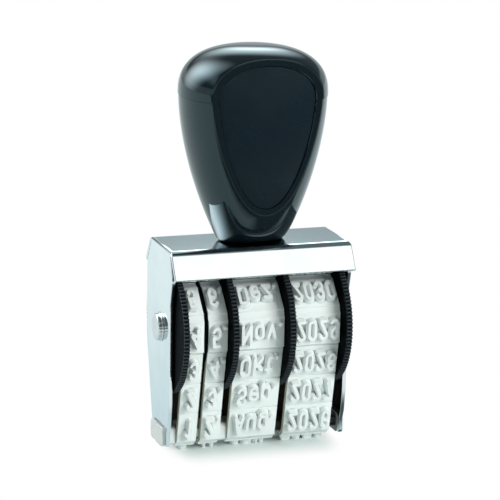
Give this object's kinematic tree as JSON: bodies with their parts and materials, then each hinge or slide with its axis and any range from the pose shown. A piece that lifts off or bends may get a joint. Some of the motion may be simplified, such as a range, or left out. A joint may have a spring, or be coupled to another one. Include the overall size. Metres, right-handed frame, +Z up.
{
  "type": "hand date stamp",
  "caption": "Hand date stamp with a folded steel housing, serrated thumbwheels that turn rubber date belts over a bridge, and a round black handle.",
  "frame": {"origin": "middle of the bounding box at the level of the type faces of the printing row", "axes": "+Z up from the print to the handle, +X along the printed line from day to year, -Y the side from which the belts are read"},
  "size_m": [0.038, 0.026, 0.0783],
  "materials": {
    "plated_steel": "polished nickel plate",
    "axle_steel": "polished",
    "screw_steel": "zinc plated",
    "bridge_plastic": "moulded satin",
    "belt_rubber": "matt moulded",
    "wheel_plastic": "moulded satin",
    "handle_plastic": "polished",
    "panel_plastic": "fine satin"
  },
  "bodies": {
    "frame": {"housing": "plated_steel", "platen_bridge": "bridge_plastic", "axle": "axle_steel", "axle_washer_left": "axle_steel", "axle_washer_right": "axle_steel", "axle_cap": "axle_steel", "spacer_left": "axle_steel", "spacer_right": "axle_steel", "belt_day_tens": "belt_rubber", "belt_day_units": "belt_rubber", "belt_month": "belt_rubber", "belt_year": "belt_rubber", "handle_body": "handle_plastic", "handle_cap": "handle_plastic", "front_panel": "panel_plastic", "rear_panel": "panel_plastic", "handle_screw": "screw_steel", "screw_washer": "screw_steel"},
    "wheel_day_tens": {"wheel_day_tens": "wheel_plastic"},
    "wheel_day_units": {"wheel_day_units": "wheel_plastic"},
    "wheel_month": {"wheel_month": "wheel_plastic"},
    "wheel_year": {"wheel_year": "wheel_plastic"}
  },
  "joints": [
    {"name": "wheel_day_tens_turn", "type": "hinge", "parent": "frame", "child": "wheel_day_tens", "pos_m": [-0.01425, 0, 0.0244], "axis": [1, 0, 0], "continuous": true},
    {"name": "wheel_day_units_turn", "type": "hinge", "parent": "frame", "child": "wheel_day_units", "pos_m": [-0.00876, 0, 0.0244], "axis": [1, 0, 0], "continuous": true},
    {"name": "wheel_month_turn", "type": "hinge", "parent": "frame", "child": "wheel_month", "pos_m": [-0.00034, 0, 0.0244], "axis": [1, 0, 0], "continuous": true},
    {"name": "wheel_year_turn", "type": "hinge", "parent": "frame", "child": "wheel_year", "pos_m": [0.011, 0, 0.0244], "axis": [1, 0, 0], "continuous": true}
  ]
}
